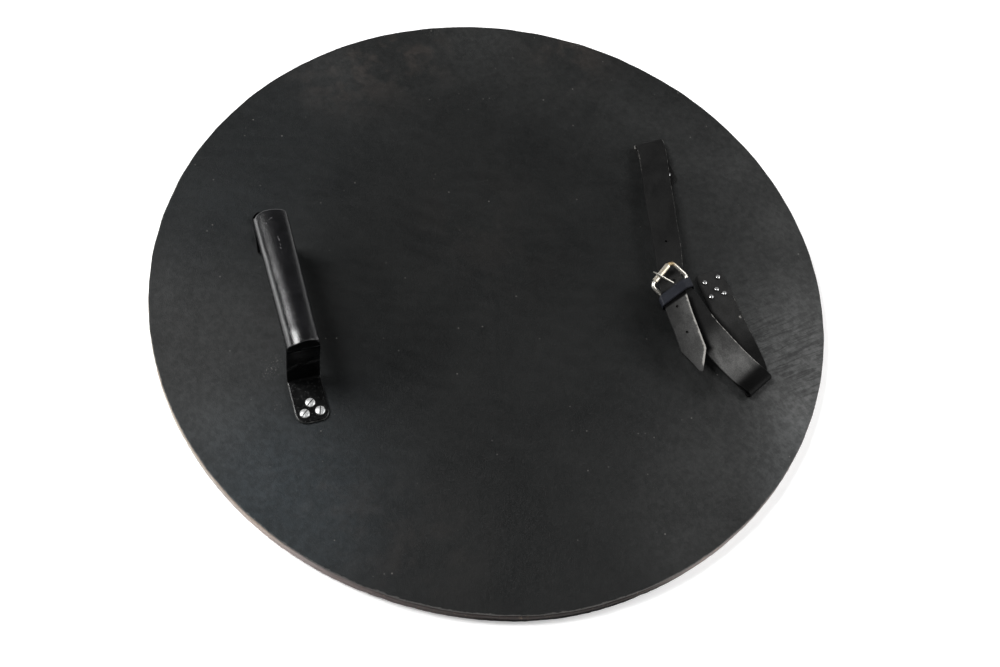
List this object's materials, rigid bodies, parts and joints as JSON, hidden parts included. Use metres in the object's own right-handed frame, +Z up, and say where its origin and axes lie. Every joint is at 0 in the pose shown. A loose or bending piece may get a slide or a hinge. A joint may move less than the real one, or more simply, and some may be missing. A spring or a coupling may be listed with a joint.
{
  "type": "round shield",
  "caption": "Round wooden shield, back up: leather-faced board with a steel-strap hand grip and a buckled leather arm strap.",
  "frame": {"origin": "centre of the shield's front face, on the surface that it lies on", "axes": "+Z up, out of the shield's back; +X along the bearer's forearm, from the hand grip to the arm strap; +Y along the grip's bar, away from its visible foot"},
  "size_m": [0.61, 0.61, 0.085],
  "materials": {
    "wood_rim": "red-brown stain, worn to cream on the sawn edge, matt",
    "facing_leather": "black, smooth, scuffed and cloudy",
    "black_steel": "black gloss",
    "sleeve_leather": "black, glossy, fine grain",
    "strap_leather": "black, satin, with worn grey edges",
    "keeper_leather": "blue-black, matt",
    "screw_steel": "zinc-plated, scratched",
    "nail_steel": "bright domes",
    "buckle_nickel": "nickel plate, slightly yellowed"
  },
  "bodies": {
    "root": {"wooden_board": "wood_rim", "back_leather": "facing_leather", "grip_bracket": "black_steel", "grip_sleeve": "sleeve_leather", "grip_screw_1": "screw_steel", "grip_screw_2": "screw_steel", "grip_screw_3": "screw_steel", "grip_screw_4": "screw_steel", "grip_screw_5": "screw_steel", "grip_screw_6": "screw_steel", "tongue_strap": "strap_leather", "buckle_strap": "strap_leather", "strap_keeper": "keeper_leather", "buckle_frame": "buckle_nickel", "buckle_roller": "buckle_nickel", "buckle_prong": "buckle_nickel", "strap_nail_1": "nail_steel", "strap_nail_2": "nail_steel", "strap_nail_3": "nail_steel", "strap_nail_4": "nail_steel", "strap_nail_5": "nail_steel", "strap_nail_6": "nail_steel", "strap_nail_7": "nail_steel", "strap_nail_8": "nail_steel", "strap_nail_9": "nail_steel", "strap_nail_10": "nail_steel"}
  },
  "joints": []
}
